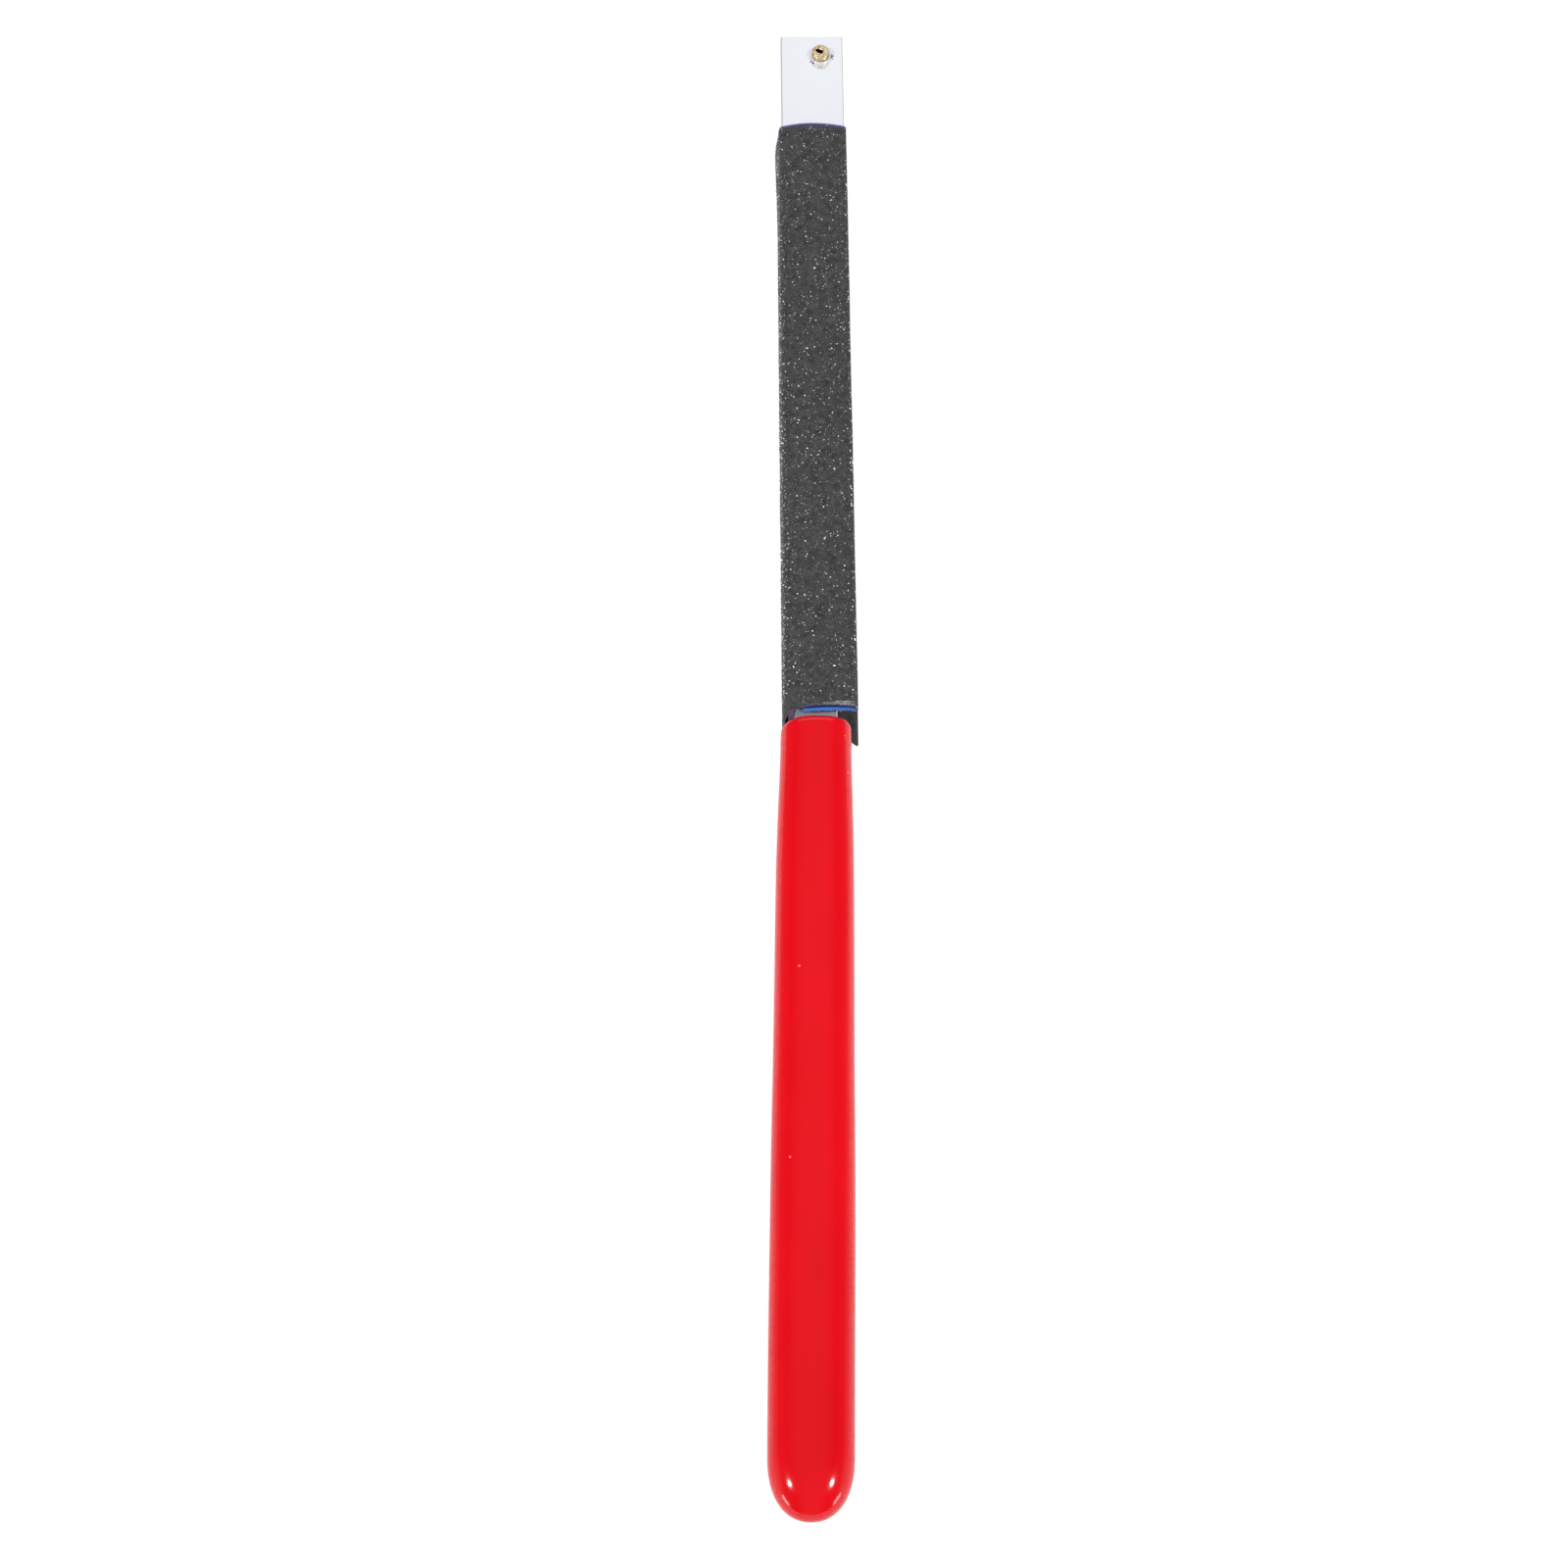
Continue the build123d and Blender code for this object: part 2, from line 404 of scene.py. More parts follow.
def roundOff(bm, edges, radius, segments):  # a smooth bevel between faces that stay flat
    made = bmesh.ops.bevel(
        bm, geom=edges, offset=radius, offset_type="OFFSET", affect="EDGES",
        segments=segments, profile=0.5, material=-1, clamp_overlap=True,
    )
    for face in made["faces"]:
        face.smooth = True


def edgesWhere(bm, test):
    return [edge for edge in bm.edges if test(*(v.co for v in edge.verts))]


def alongY(a, b):
    return abs(a.y - b.y) > 10 * mm


def makeChannel(look, sawn):
    setup = {
        "wall": 1.5 * mm, "webRadius": 0.35 * mm, "legRadius": 0.2 * mm, "cutRadius": 0.1 * mm,
        "askew": 0.35 * mm,
    }
    low, high, wall = channelLow, channelHigh, setup["wall"]
    outline = (
        (low.x, low.z), (high.x, low.z), (high.x, low.z + wall), (low.x + wall, low.z + wall),
        (low.x + wall, high.z - wall), (high.x, high.z - wall), (high.x, high.z), (low.x, high.z),
    )
    bm = bmesh.new()
    face = bm.faces.new([bm.verts.new((x, high.y, z)) for x, z in outline])
    made = bmesh.ops.extrude_face_region(bm, geom=[face])
    moved = [v for v in made["geom"] if isinstance(v, bmesh.types.BMVert)]
    bmesh.ops.translate(bm, verts=moved, vec=(0, low.y - high.y, 0))
    bmesh.ops.recalc_face_normals(bm, faces=bm.faces[:])
    for v in bm.verts:  # the pivot end is sawn a little askew
        if v.co.y > 0:
            v.co.y += setup["askew"] * (high.x - v.co.x) / (high.x - low.x)
    near = 0.01 * mm
    webEdges = edgesWhere(bm, lambda a, b: alongY(a, b) and abs(a.x - low.x) < near)
    roundOff(bm, webEdges, setup["webRadius"], 4)
    legEdges = edgesWhere(bm, lambda a, b: alongY(a, b) and abs(a.x - high.x) < near)
    roundOff(bm, legEdges, setup["legRadius"], 3)
    corners = [e for e in bm.edges if len(e.link_faces) == 2 and e.calc_face_angle() > sharp]
    cuts = [e for e in corners if not alongY(*(v.co for v in e.verts))]
    roundOff(bm, cuts, setup["cutRadius"], 2)
    bm.normal_update()
    for face in bm.faces:
        face.material_index = 1 if abs(face.normal.y) > 0.6 else 0
    piece = finish(bm, "channelBody", [look, sawn], "holder", smooth=False)
    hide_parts("holder_channel")
    return piece


def makeBar(look):
    setup = {"edgeRadius": 0.7 * mm, "endSegments": 16}
    low, high = barLow, barHigh
    size, middle = high - low, (low + high) / 2
    bm = bmesh.new()
    bmesh.ops.create_cube(bm, size=1, matrix=Matrix.Translation(middle) @ Matrix.Diagonal((*size, 1)))
    upright = edgesWhere(bm, lambda a, b: abs(a.z - b.z) > size.z / 2 and min(a.y, b.y) > middle.y)
    roundOff(bm, upright, size.x / 2 * 0.998, setup["endSegments"])
    rims = edgesWhere(bm, lambda a, b: abs(a.z - b.z) < size.z / 4)
    rims = [e for e in rims if e.calc_face_angle(0) > sharp]
    roundOff(bm, rims, setup["edgeRadius"], 4)
    bmesh.ops.transform(bm, matrix=handleFrame, verts=bm.verts[:])
    piece = finish(bm, "handleBar", [look], "handle", smooth=False)
    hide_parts("handle_bar")
    return piece


def nextRing(bm, edges):  # extrudes a ring of edges in place
    made = bmesh.ops.extrude_edge_only(bm, edges=edges)["geom"]
    ring = [g for g in made if isinstance(g, bmesh.types.BMVert)]
    return ring, [g for g in made if isinstance(g, bmesh.types.BMEdge)]


def reshape(verts, old, new):  # one superellipse ring to another, each (half width, half depth, power)
    for v in verts:
        turn = []
        for value, half in ((v.co.x, old[0]), (v.co.z, old[1])):
            turn.append(math.copysign((abs(value) / half) ** (old[2] / 2), value))
        v.co.x = math.copysign(new[0] * abs(turn[0]) ** (2 / new[2]), turn[0])
        v.co.z = math.copysign(new[1] * abs(turn[1]) ** (2 / new[2]), turn[1])


def easeAlong(stops, at):  # smooth curve through (place, value) stops
    for k in range(len(stops) - 1):
        if at <= stops[k + 1][0]:
            break
    (x0, y0), (x1, y1) = stops[k], stops[k + 1]
    before = stops[k - 1] if k else stops[k]
    after = stops[k + 2] if k + 2 < len(stops) else stops[k + 1]
    slope0 = (y1 - before[1]) / (x1 - before[0])
    slope1 = (after[1] - y0) / (after[0] - x0)
    span = x1 - x0
    t = min(1, max(0, (at - x0) / span))
    return (
        (2 * t**3 - 3 * t**2 + 1) * y0 + (t**3 - 2 * t**2 + t) * span * slope0
        + (3 * t**2 - 2 * t**3) * y1 + (t**3 - t**2) * span * slope1
    )


def makeGrip(look):
    setup = {
        "segments": 48, "ringStep": 2.6 * mm, "power": 2.7, "rimRadius": 1.7 * mm, "noseLength": 12.4 * mm,
        "nosePower": 2.2, "noseEase": 0.5, "mouthDepth": 5 * mm, "fit": 0.06 * mm,
        "ripple": 0.05 * mm, "rippleSize": 11 * mm, "rimLean": 1.0 * mm, "leanReach": 14 * mm,
        # distance from the rim and width, in millimetres
        "widths": ((0, 14.95), (10, 15.15), (20, 15.7), (30, 16.1), (40, 16.3), (58, 16.43),
                   (76, 16.55), (92, 16.83), (125, 16.98), (161, 16.85), (174, 16.8)),
    }
    length = gripHigh.y - gripLow.y
    halfDepth = (gripHigh.z - gripLow.z) / 2
    bodyEnd = length - setup["noseLength"]
    power, rimRadius = setup["power"], setup["rimRadius"]
    barHalf = Vector(((barHigh.x - barLow.x) / 2, 0, (barHigh.z - barLow.z) / 2))

    def halfWidth(at):
        return easeAlong(setup["widths"], at / mm) / 2 * mm

    fit = setup["fit"]
    rings = [  # distance from the rim, half width, half depth, power
        (setup["mouthDepth"], barHalf.x, barHalf.z, 9),
        (0.5 * mm, barHalf.x + fit, barHalf.z + fit, 8),
        (0.12 * mm, barHalf.x + 3 * fit, barHalf.z + 3 * fit, 6),
        (0, barHalf.x + 8 * fit, barHalf.z + 8 * fit, 5),
    ]
    for step in range(7):
        turn = math.radians(90 * step / 6)
        inset = rimRadius * (1 - math.sin(turn))
        at = rimRadius * (1 - math.cos(turn))
        rings.append((at, halfWidth(at) - inset, halfDepth - inset, power))
    count = int((bodyEnd - rimRadius) / setup["ringStep"])
    for step in range(1, count + 1):
        at = rimRadius + (bodyEnd - rimRadius) * step / count
        rings.append((at, halfWidth(at), halfDepth, power))
    for step in range(1, 13):
        share = math.sin(math.radians(88.5 * step / 12))
        narrow = (1 - share ** setup["nosePower"]) ** (1 / setup["nosePower"])
        at = bodyEnd + setup["noseLength"] * share
        rings.append((at, halfWidth(at) * narrow, halfDepth * narrow, power - setup["noseEase"] * share))

    bm = bmesh.new()
    made = bmesh.ops.create_circle(bm, segments=setup["segments"], radius=1)
    bmesh.ops.rotate(bm, verts=made["verts"], matrix=Matrix.Rotation(math.pi / 2, 3, "X"))
    ring, edges = made["verts"], bm.edges[:]
    bmesh.ops.translate(bm, verts=ring, vec=(0, gripHigh.y - rings[0][0], 0))
    reshape(ring, (1, 1, 2), rings[0][1:])
    for old, new in zip(rings, rings[1:]):
        ring, edges = nextRing(bm, edges)
        bmesh.ops.translate(bm, verts=ring, vec=(0, old[0] - new[0], 0))
        reshape(ring, old[1:], new[1:])
    bmesh.ops.holes_fill(bm, edges=edges, sides=0)
    bmesh.ops.recalc_face_normals(bm, faces=bm.faces[:])
    bm.normal_update()
    for v in bm.verts:  # dip-moulded skin is never quite even
        if v.co.y < gripHigh.y - 1 * mm:
            drift = noise.noise(Vector((v.co.x, v.co.y * 0.4, v.co.z)) / setup["rippleSize"])
            v.co += v.normal * drift * setup["ripple"]
    for v in bm.verts:  # the rim runs lower on the web's side
        left = max(0, -v.co.x / halfWidth(0))
        near = max(0, 1 - (gripHigh.y - v.co.y) / setup["leanReach"])
        v.co.y -= setup["rimLean"] * left**2 * near
    bmesh.ops.translate(bm, verts=bm.verts[:], vec=(0, 0, (gripLow.z + gripHigh.z) / 2))
    bmesh.ops.transform(bm, matrix=handleFrame, verts=bm.verts[:])
    piece = finish(bm, "gripSleeve", [look], "handle")
    soft = piece.modifiers.new("smooth", "SUBSURF")
    soft.levels = soft.render_levels = 1
    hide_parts("vinyl_grip")
    return piece


def turned(profile, steps):  # (radius, height) points spun about the pivot axis
    bm = bmesh.new()
    points = [bm.verts.new((pivot.x + radius, pivot.y, height)) for radius, height in profile]
    chain = [bm.edges.new(pair) for pair in zip(points, points[1:])]
    if profile[0] != profile[-1] and profile[0][0] > 0 and profile[-1][0] > 0:
        chain.append(bm.edges.new((points[-1], points[0])))
    bmesh.ops.spin(
        bm, geom=points + chain, cent=pivot, axis=(0, 0, 1), angle=2 * math.pi,
        steps=steps, use_merge=True, use_normal_flip=False, use_duplicate=False,
    )
    bmesh.ops.remove_doubles(bm, verts=bm.verts[:], dist=0.002 * mm)
    bmesh.ops.recalc_face_normals(bm, faces=bm.faces[:])
    return bm


def dent(place):  # noise.noise_vector is seeded by the clock, so three plain noises stand in for it
    return Vector([noise.noise(place + Vector((shift, 0, 0))) for shift in (0, 31.7, 63.4)])


def makeRivet(look):
    setup = {
        "shank": 1.8 * mm, "head": 1.97 * mm, "hole": 0.62 * mm, "holeDepth": 1.5 * mm, "steps": 48,
        "lip": 0.28 * mm, "dents": 0.06 * mm, "dentSize": 0.9 * mm, "land": 1.75 * mm,
        # the hole is torn to one side
        "lobe": 0.62 * mm, "lobeTurn": math.radians(152), "lobePower": 5, "ragged": 0.12 * mm,
    }
    back, front, seat = rivetLow.z, rivetHigh.z, washerHigh.z
    head, lip, hole = setup["head"], setup["lip"], setup["hole"]
    backRadius = (rivetHigh.x - rivetLow.x) / 2
    profile = [
        (0, back), (backRadius * 0.8, back), (backRadius * 0.95, back + 0.08 * mm),
        (backRadius, back + 0.22 * mm), (backRadius, channelLow.z), (setup["shank"], channelLow.z),
        (setup["shank"], seat), (head * 0.99, seat), (head * 1.02, seat + 0.35 * mm),
        (head * 0.97, (seat + front) / 2), (head, front - lip * 1.4),
    ]
    for step in range(1, 6):
        turn = math.radians(18 * step)
        profile.append((head - lip * (1 - math.cos(turn)), front - lip * (1 - math.sin(turn))))
    profile += [
        (1.45 * mm, front - 0.02 * mm), (1.15 * mm, front - 0.05 * mm), (0.9 * mm, front - 0.02 * mm),
        (hole + 0.16 * mm, front - 0.04 * mm), (hole, front - 0.14 * mm), (hole * 0.9, front - 0.5 * mm),
        (hole * 0.7, front - setup["holeDepth"]), (0, front - setup["holeDepth"] * 1.1),
    ]
    bm = turned(profile, setup["steps"])
    upper = [e for e in bm.edges if min(v.co.z for v in e.verts) > seat]
    bmesh.ops.subdivide_edges(bm, edges=upper, cuts=1, use_grid_fill=True)
    lobeWay = Vector((math.cos(setup["lobeTurn"]), math.sin(setup["lobeTurn"]), 0))
    for v in bm.verts:  # hammered end and its ragged hole
        out = v.co - Vector((pivot.x, pivot.y, v.co.z))
        if v.co.z > seat + 0.2 * mm:
            v.co += dent(v.co / setup["dentSize"]) * setup["dents"]
        if v.co.z > seat and 0.1 * mm < out.length < setup["land"]:
            fade = 1 - smoothStep((out.length - hole) / (setup["land"] - hole))
            pull = max(0, out.normalized().dot(lobeWay)) ** setup["lobePower"] * setup["lobe"]
            ragged = noise.noise(out.normalized() * 2.1 + Vector((8, 1, 0))) * setup["ragged"]
            v.co += out.normalized() * (pull + ragged) * fade
    piece = finish(bm, "peenedRivet", [look], "holder")
    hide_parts("pivot_rivet")
    return piece


def makeWasher(look):
    setup = {"bore": 1.82 * mm, "soft": 0.1 * mm, "steps": 56, "dent": 0.05 * mm, "dentSize": 1.4 * mm}
    outer, low, high = (washerHigh.x - washerLow.x) / 2, washerLow.z, washerHigh.z
    bore, soft = setup["bore"], setup["soft"]
    profile = [
        (bore, low), (outer - soft, low), (outer, low + soft), (outer, high - soft * 1.2),
        (outer - soft, high - soft * 0.3), (outer - 0.4 * mm, high), (bore, high),
    ]
    bm = turned(profile, setup["steps"])
    for v in bm.verts:
        if v.co.z > low + 0.05 * mm:
            v.co.z += noise.noise(v.co / setup["dentSize"]) * setup["dent"]
    piece = finish(bm, "rivetWasher", [look], "holder")
    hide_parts("rivet_washer")
    return piece


# The abrasive strip

def roundedPath(corners, step, turns):  # (point, outward normal, distance) along a path of corners
    samples, travelled = [], 0.0
    place = Vector(corners[0][0])

    def straight(start, end, outward, last=0):
        count = max(1, round((end - start).length / step))
        for k in range(count + last):
            gone = (end - start).length * k / count
            samples.append((start.lerp(end, k / count), outward, travelled + gone))

    for (a, _), (b, radius), (c, _) in zip(corners, corners[1:], corners[2:]):
        a, b, c = Vector(a), Vector(b), Vector(c)
        inWay, outWay = (b - a).normalized(), (c - b).normalized()
        angle = inWay.angle(outWay)
        trim = radius * math.tan(angle / 2)
        left = Vector((-inWay.y, inWay.x))
        bend = math.copysign(1, left.dot(outWay))
        end = b - inWay * trim
        straight(place, end, -left)
        travelled += (end - place).length
        centre = end + left * bend * radius
        for k in range(turns):
            turn = Matrix.Rotation(bend * angle * k / turns, 2)
            at = centre + turn @ (end - centre)
            samples.append((at, turn @ -left, travelled + radius * angle * k / turns))
        travelled += radius * angle
        place = b + outWay * trim
    last = Vector(corners[-1][0])
    way = (last - place).normalized()
    straight(place, last, Vector((way.y, -way.x)), 1)
    return samples


stripSetup = {
    "thick": 0.42 * mm, "gap": 0.06 * mm, "wall": 1.5 * mm, "flap": 11.4 * mm, "edgeTurn": 0.2 * mm,
    "webFrontTurn": 0.78 * mm, "webBackTurn": 1.9 * mm, "webFrontStand": 0.02 * mm,
    "webBackStand": 0.85 * mm, "step": 0.62 * mm, "rows": 250, "turns": 6, "fan": 0.4 * mm,
    # the front layer's crown, what the pivot's end adds to it, its wave along the strip
    "crown": 0.8 * mm, "topCrown": 0.55 * mm, "crownStart": 0.6 * mm, "wave": 38 * mm,
    # the cut at the grip's end: how far it runs out on the open side and down the web, and how it fades
    "nose": 4.7 * mm, "noseWidth": 3.2 * mm, "noseSlant": 1.6 * mm, "tail": 2.0 * mm, "tailWidth": 4 * mm,
    "cutFade": 0.2,
    # the corner that falls in past the channel's foot
    "slack": 1.0 * mm, "slackReach": 1.7 * mm, "slackWidth": 2.4 * mm,
    # unevenness: size and depth of the cut's fine and wide noise, and of the cloth's ripple
    "fineCut": (0.8 * mm, 0.12 * mm), "wideCut": (7 * mm, 0.25 * mm),
    "ripple": (9 * mm, 13 * mm, 0.05 * mm),
}


def stripPath():
    s = stripSetup
    off = s["gap"] + s["thick"] / 2
    nose = channelHigh.x + off
    top, bottom = channelHigh.z + off, channelLow.z - off
    slotTop, slotBottom = channelHigh.z - s["wall"] - off, channelLow.z + s["wall"] + off
    flapEnd = channelHigh.x - s["flap"]
    turn = s["edgeTurn"] + off
    corners = [
        ((flapEnd, slotTop), 0), ((nose, slotTop), turn), ((nose, top), turn),
        ((channelLow.x - s["webFrontStand"] - off, top), s["webFrontTurn"]),
        ((channelLow.x - s["webBackStand"] - off, bottom), s["webBackTurn"]),
        ((nose, bottom), turn), ((nose, slotBottom), turn), ((flapEnd, slotBottom), 0),
    ]
    return roundedPath(corners, s["step"], s["turns"])


def bump(x):  # 0 at 0 and 1, 1 in the middle
    return math.sin(math.pi * min(1, max(0, x)))


def smoothStep(x):
    x = min(1, max(0, x))
    return x * x * (3 - 2 * x)


def stripPoint(sample, share):  # in the strip's middle layer; share is 0 at the grip, 1 at the pivot
    s = stripSetup
    at, side, distance = sample
    y = stripLow.y + (stripHigh.y - stripLow.y) * share
    point = Vector((at.x, y, at.y))
    normal = Vector((side.x, 0, side.y))
    front = point.z > channelHigh.z
    back = point.z < (channelLow.z + channelHigh.z) / 2 - 1 * mm and point.x > channelLow.x
    if front:  # the front layer stands off in a low crown
        start = channelLow.x - s["crownStart"]
        acrossShare = (point.x - start) / (channelHigh.x - start)
        lift = s["crown"] + s["topCrown"] * smoothStep((share - 0.8) / 0.2)
        lift *= 1 + 0.25 * noise.noise(Vector((0, y / s["wave"], 0)))
        lean = acrossShare ** (1.0 + 0.5 * (1 - smoothStep(share / 0.12)))
        point.z += lift * bump(lean) ** 0.9
    late = 1 - smoothStep(share / s["cutFade"])
    if point.x < channelLow.x:  # the web side fans out towards the back at the pivot's end
        depth = (channelHigh.z - point.z) / (channelHigh.z - channelLow.z)
        point.x -= s["fan"] * smoothStep(depth) * smoothStep((share - 0.85) / 0.15)
        tail = smoothStep(depth)
    else:
        tail = (1 - smoothStep((point.x - channelLow.x) / s["tailWidth"])) * (point.z < channelLow.z)
    point.y -= s["tail"] * tail * late  # the cut runs down the web towards the back
    if back:  # the cut at the grip's end runs out towards the open side
        reach = smoothStep((point.x - (channelHigh.x - s["noseWidth"])) / s["noseWidth"]) ** 0.7
        outer = smoothStep((channelLow.z + s["wall"] + s["gap"] - point.z) / s["wall"])
        point.y -= (s["nose"] - s["noseSlant"] * outer) * reach * late
    corner = Vector((channelLow.x, 0, channelHigh.z)) - Vector((point.x, 0, point.z))
    free = 1 - smoothStep((y - stripLow.y) / s["slackReach"])  # past the channel's foot the cloth falls in
    fall = s["slack"] * free * math.exp(-(corner.length / s["slackWidth"]) ** 2)
    point += Vector((fall, 0, -fall))
    if share == 0:  # the grip's end is cut unevenly
        for (size, depth), place in ((s["fineCut"], 2.5), (s["wideCut"], 7.5)):
            point.y += noise.noise(Vector((distance / size, 0, place))) * depth
    if point.z > channelLow.z:
        across, along, depth = s["ripple"]
        point += normal * noise.noise(Vector((distance / across, y / along, 1.7))) * depth
    return point, normal


def makeStrip(grit, backing, edge):
    s = stripSetup
    samples = stripPath()
    columns, rows = len(samples) - 1, s["rows"]
    length = stripHigh.y - stripLow.y
    bm = bmesh.new()
    bmesh.ops.create_grid(bm, x_segments=columns, y_segments=rows, size=0.5)
    flat = bm.loops.layers.uv.new("flat")
    places = {}
    for v in bm.verts:
        column, row = round((v.co.x + 0.5) * columns), round((v.co.y + 0.5) * rows)
        places[v] = (samples[column][2], row / rows * length)
        v.co = stripPoint(samples[column], row / rows)[0]
    for face in bm.faces:
        for loop in face.loops:
            loop[flat].uv = places[loop.vert]
    bm.normal_update()
    front = Vector((0, pivot.y - 100 * mm, channelHigh.z))
    middle = min(bm.faces, key=lambda face: (face.calc_center_median() - front).length)
    if middle.normal.z < 0:
        bmesh.ops.reverse_faces(bm, faces=bm.faces[:])
    piece = finish(bm, "abrasiveStrip", [grit, backing, edge], "strip")
    wall = piece.modifiers.new("cloth", "SOLIDIFY")
    wall.thickness = s["thick"]
    wall.offset = 0
    wall.material_offset = 1
    wall.material_offset_rim = 2
    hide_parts("abrasive_strip")
    width = samples[-1][2]
    print("strip flat width", round(width / mm, 1), "mm")
    return piece, samples, (width, length)


def join(bm, part):  # adds one unfinished mesh to another
    mesh = bpy.data.meshes.new("part")
    part.to_mesh(mesh)
    part.free()
    bm.from_mesh(mesh)
    bpy.data.meshes.remove(mesh)


def between(first, second, share):  # a sample part of the way from one to the next
    return (
        first[0].lerp(second[0], share), first[1].lerp(second[1], share).normalized(),
        first[2] + (second[2] - first[2]) * share,
    )


def makeGrains(look, samples):
    setup = {
        "batches": 88, "batch": 100, "small": 0.06 * mm, "large": 0.19 * mm, "seed": 11,
        # no grain where the corner falls in: how far round it, and how far past its end
        "bare": 3.2 * mm, "bareEnd": 0.4 * mm,
    }
    pick = random.Random(setup["seed"])
    bareShare = (stripSetup["slackReach"] + setup["bareEnd"]) / (stripHigh.y - stripLow.y)
    outside = [k for k, sample in enumerate(samples[:-1])
               if sample[0].y > channelHigh.z or sample[0].y < channelLow.z or sample[0].x < channelLow.x]
    bm = bmesh.new()
    for _ in range(setup["batches"]):
        part = bmesh.new()
        for _ in range(setup["batch"]):
            first, share = pick.choice(outside), pick.uniform(0.004, 0.996)
            point, normal = stripPoint(between(samples[first], samples[first + 1], pick.random()), share)
            away = math.hypot(point.x - channelLow.x, point.z - channelHigh.z)
            if share < bareShare and away < setup["bare"]:
                continue
            size = setup["small"] + (setup["large"] - setup["small"]) * pick.random() ** 2.5
            point += normal * (stripSetup["thick"] / 2 + size * 0.2)
            point += Vector((0, pick.uniform(-0.3, 0.3) * mm, 0))
            turn = Matrix.Rotation(pick.uniform(0, 6.3), 4, Vector((pick.random(), pick.random(), 1)))
            shape = Matrix.Diagonal((size, size * pick.uniform(0.6, 1.2), size * pick.uniform(0.6, 1), 1))
            place = Matrix.Translation(point) @ turn @ shape
            bmesh.ops.create_icosphere(part, subdivisions=1, radius=1, matrix=place)
        join(bm, part)
    return finish(bm, "sparkleGrains", [look], "strip", smooth=False)


def tube(bm, points, radius, segments=6):  # a thread along points, with flat ends
    made = bmesh.ops.create_circle(bm, cap_ends=False, segments=segments, radius=radius)
    ring = made["verts"]
    edges = list({edge for v in ring for edge in v.link_edges})
    way = (points[1] - points[0]).normalized()
    turn = Vector((0, 0, 1)).rotation_difference(way).to_matrix()
    bmesh.ops.rotate(bm, verts=ring, matrix=turn)
    bmesh.ops.translate(bm, verts=ring, vec=points[0])
    bmesh.ops.holes_fill(bm, edges=edges, sides=0)
    for before, after in zip(points, points[1:]):
        ring, edges = nextRing(bm, edges)
        turn = way.rotation_difference((after - before).normalized()).to_matrix()
        bmesh.ops.rotate(bm, verts=ring, cent=before, matrix=turn)
        bmesh.ops.translate(bm, verts=ring, vec=after - before)
        way = (after - before).normalized()
    bmesh.ops.holes_fill(bm, edges=edges, sides=0)


def makeFringe(look, samples):
    setup = {
        "stubs": 150, "stub": 0.055 * mm, "seed": 5, "thread": 0.085 * mm, "pieces": 22, "sway": 0.22 * mm,
        # loose threads along the grip's end: start and end across, how far in from the cut
        "loose": ((2.6, 9.7, 0.30), (4.2, 9.2, 0.02), (5.4, 8.6, 0.55), (6.4, 9.9, 0.75)),
    }
    pick = random.Random(setup["seed"])
    bm = bmesh.new()
    for _ in range(setup["stubs"]):
        end = pick.choice((0, 1))
        sample = samples[pick.randrange(len(samples))]
        point, normal = stripPoint(sample, end)
        side = normal.cross(Vector((0, 1, 0))) * pick.uniform(-0.5, 0.5)
        out = (Vector((0, 2 * end - 1, 0)) + side + normal * pick.uniform(0, 0.4)).normalized()
        reach = pick.uniform(0.12, 0.4) * mm
        start = point + normal * pick.uniform(0, 0.12) * mm - out * reach * 0.2
        tube(bm, [start, start + out * reach * 0.6, start + out * reach], setup["stub"], 5)
    front = [sample for sample in samples if sample[0].y > channelHigh.z]
    for first, last, inset in setup["loose"]:
        points = []
        for k in range(setup["pieces"] + 1):
            across = (first + (last - first) * k / setup["pieces"]) * mm
            sample = min(front, key=lambda candidate: abs(candidate[0].x - across))
            point, normal = stripPoint(sample, inset * mm / (stripHigh.y - stripLow.y))
            sway = noise.noise(Vector((across / (1.1 * mm), inset * 5, 3))) * setup["sway"]
            lift = stripSetup["thick"] / 2 + setup["thread"] * 0.7 + abs(sway) * 0.4
            points.append(Vector((across, point.y + sway, point.z + lift)))
        tube(bm, points, setup["thread"] * pick.uniform(0.7, 1.1))
    bmesh.ops.recalc_face_normals(bm, faces=bm.faces[:])
    return finish(bm, "cutThreads", [look], "strip")


def makeBurrs(look):  # slivers thrown up beside the washer when the rivet was peened
    setup = {
        "seed": 9, "thick": 0.065 * mm, "bend": 0.06 * mm,
        # turn round the pivot in degrees, spread, distance from the axis in millimetres, how many
        "spots": ((3, 12, 2.5, 12), (221, 15, 2.5, 12), (350, 20, 2.55, 4)),
    }
    pick = random.Random(setup["seed"])
    bm = bmesh.new()
    for turn, spread, away, count in setup["spots"]:
        for _ in range(count):
            angle = math.radians(turn + pick.uniform(-spread, spread))
            reach = pick.uniform(away - 0.05, away + 0.35)
            place = Vector((math.cos(angle), math.sin(angle), 0)) * reach * mm
            place += Vector((pivot.x, pivot.y, channelHigh.z + setup["thick"] * 0.5))
            lean = pick.uniform(0, math.pi)
            rise = pick.uniform(0, 0.35)
            length = pick.uniform(0.12, 0.38)
            way = Vector((math.cos(lean), math.sin(lean), rise)) * length * mm
            bend = Vector((pick.uniform(-1, 1), pick.uniform(-1, 1), 0)) * setup["bend"]
            points = [place, place + way * 0.5 + bend, place + way]
            tube(bm, points, setup["thick"] * pick.uniform(0.6, 1.3), 5)
    bmesh.ops.recalc_face_normals(bm, faces=bm.faces[:])
    return finish(bm, "rivetBurrs", [look], "holder")


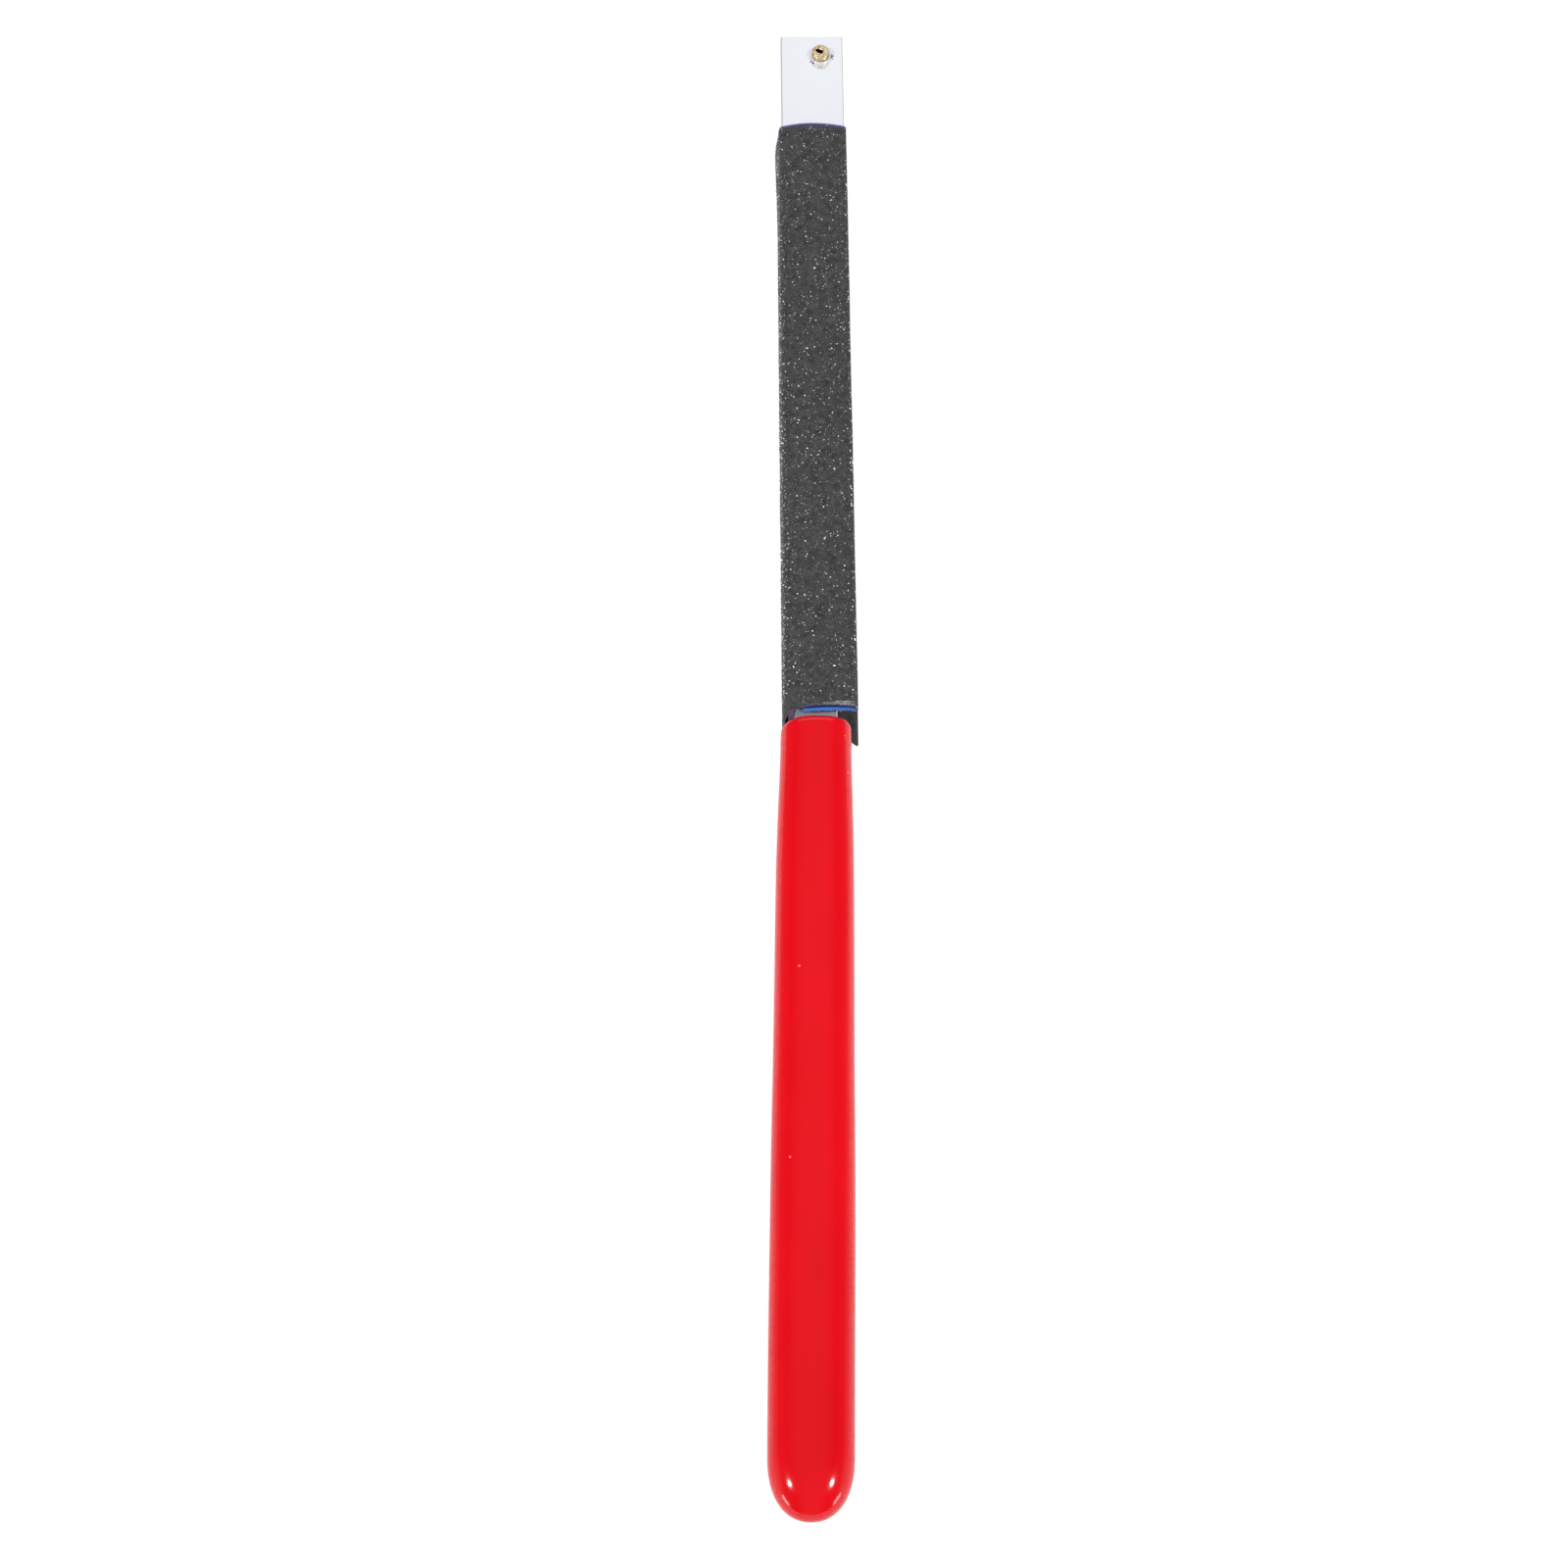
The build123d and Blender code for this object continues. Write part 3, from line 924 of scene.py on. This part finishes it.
def makeSpacers(look):
    for name in ("spacer_front", "spacer_back"):
        node = frame["nodes"][name]
        node.data.materials.clear()
        node.data.materials.append(look)
    print("dressed the spacers")


# Floor, light and camera

def makeFloor(name, height, grey, glow):
    setup = {"size": 30.0, "patch": 0.4}
    bm = bmesh.new()
    bmesh.ops.create_grid(bm, x_segments=1, y_segments=1, size=setup["size"] / 2)
    bmesh.ops.translate(bm, verts=bm.verts[:], vec=(0, 0, height))
    mesh = bpy.data.meshes.new(name)
    bm.to_mesh(mesh)
    bm.free()
    floor = bpy.data.objects.new(name, mesh)
    bpy.context.collection.objects.link(floor)
    look = Look(name + "Paper", {"Roughness": 0.9, "Specular IOR Level": 0.0, "Emission Strength": glow})
    look.shader.inputs["Emission Color"].default_value = (1, 1, 1, 1)
    patches = look.cloudy(look.place(), setup["patch"], 2)
    look.feed("Base Color", look.ramp(patches, (0.3, [grey] * 3), (0.7, [0.97 * grey] * 3)))
    mesh.materials.append(look.material)
    return floor


def makeStage():  # a white sheet for the camera alone, and under it the floor that the object reflects
    sheet = makeFloor("floor", 0, 0.2, 0.92)
    sheet.visible_glossy = sheet.visible_diffuse = sheet.visible_shadow = False
    makeFloor("floorUnder", -0.2 * mm, 0.88, 0.15)
    print("made the floor")


def softLight(name, way, distance, size, radiance, shape):  # a panel that faces the object
    setup = {"middle": Vector((0, -0.02, 0.005))}
    light = bpy.data.lights.new(name, "AREA")
    light.shape = shape
    light.size, light.size_y = size
    area = size[0] * size[1] * (math.pi / 4 if shape == "ELLIPSE" else 1)
    light.energy = radiance * math.pi * area
    place = setup["middle"] + Vector(way).normalized() * distance
    turn = (setup["middle"] - place).to_track_quat("-Z", "Y").to_matrix().to_4x4()
    lamp = bpy.data.objects.new(name, light)
    lamp.matrix_world = Matrix.Translation(place) @ turn
    bpy.context.collection.objects.link(lamp)


def makeLights():
    setup = {
        # a panel's direction, distance, size, radiance, shape
        "leftLamp": ((-0.56, -0.264, 0.793), 2.2, (0.13, 0.21), 322, "ELLIPSE"),
        "rightLamp": ((0.52, -0.255, 0.793), 2.2, (0.13, 0.21), 322, "ELLIPSE"),
        "leftLow": ((-0.78, -0.54, 0.072), 2.2, (0.76, 0.56), 8, "ELLIPSE"),
        "rightLow": ((0.78, -0.52, 0.072), 2.2, (0.76, 0.56), 8, "ELLIPSE"),
        "backBoard": ((0, 0.74, 0.68), 1.42, (1.2, 0.40), 0.95, "RECTANGLE"),
    }
    for name, panel in setup.items():
        softLight(name, *panel)
    print("made", len(setup), "lights")


def makeWorld():  # grey by how far to either side it is seen
    setup = {
        # share of the way to the side, grey
        "stops": ((0.0, 0.24), (0.2, 0.21), (0.5, 0.07), (0.82, 0.14), (1.0, 0.75)), "blue": 1.03,
    }
    world = bpy.data.worlds.new("studio")
    world.use_nodes = True
    bpy.context.scene.world = world
    nodes, links = world.node_tree.nodes, world.node_tree.links
    where = nodes.new("ShaderNodeTexCoord")
    split = nodes.new("ShaderNodeSeparateXYZ")
    across = nodes.new("ShaderNodeMath")
    across.operation = "ABSOLUTE"
    ramp = nodes.new("ShaderNodeValToRGB")
    elements = ramp.color_ramp.elements
    while len(elements) < len(setup["stops"]):
        elements.new(0.5)
    for element, (place, shade) in zip(elements, setup["stops"]):
        element.position = place
        element.color = (shade, shade, shade * setup["blue"], 1)
    links.new(where.outputs["Generated"], split.inputs[0])
    links.new(split.outputs[0], across.inputs[0])
    links.new(across.outputs[0], ramp.inputs[0])
    links.new(ramp.outputs[0], nodes["Background"].inputs[0])


def makeCamera():
    setup = {
        "place": (0.00072, -0.39463, 0.69144), "down": 61.259, "turn": 0.974, "roll": -1.671,
        "lens": 85.57, "sensor": 36, "clip": (0.01, 60),
    }
    camera = bpy.data.cameras.new("camera")
    camera.lens = setup["lens"]
    camera.sensor_width = setup["sensor"]
    camera.clip_start, camera.clip_end = setup["clip"]
    eye = bpy.data.objects.new("camera", camera)
    bpy.context.collection.objects.link(eye)
    turns = ((setup["turn"], "Z"), (90 - setup["down"], "X"), (setup["roll"], "Z"))
    matrix = Matrix.Translation(setup["place"])
    for degrees, axis in turns:
        matrix = matrix @ Matrix.Rotation(math.radians(degrees), 4, axis)
    eye.matrix_world = matrix
    bpy.context.scene.camera = eye
    print("made the camera")


bpy.context.scene.view_settings.view_transform = "Standard"
makeCamera()
makeStage()
makeLights()
makeWorld()
makeChannel(channelMetal(), sawnMetal())
makeBar(barMetal())
makeGrip(gripVinyl())
makeRivet(brass())
washerLook = washerMetal()
makeWasher(washerLook)
makeBurrs(darkFilings())
makeSpacers(washerLook)
strip, stripSamples, stripFlat = makeStrip(gritCoat(stripHigh.y - stripLow.y), clothBacking(), cutEdge())
grains = makeGrains(sparkleGrain(), stripSamples)
fringe = makeFringe(fringeThread(), stripSamples)
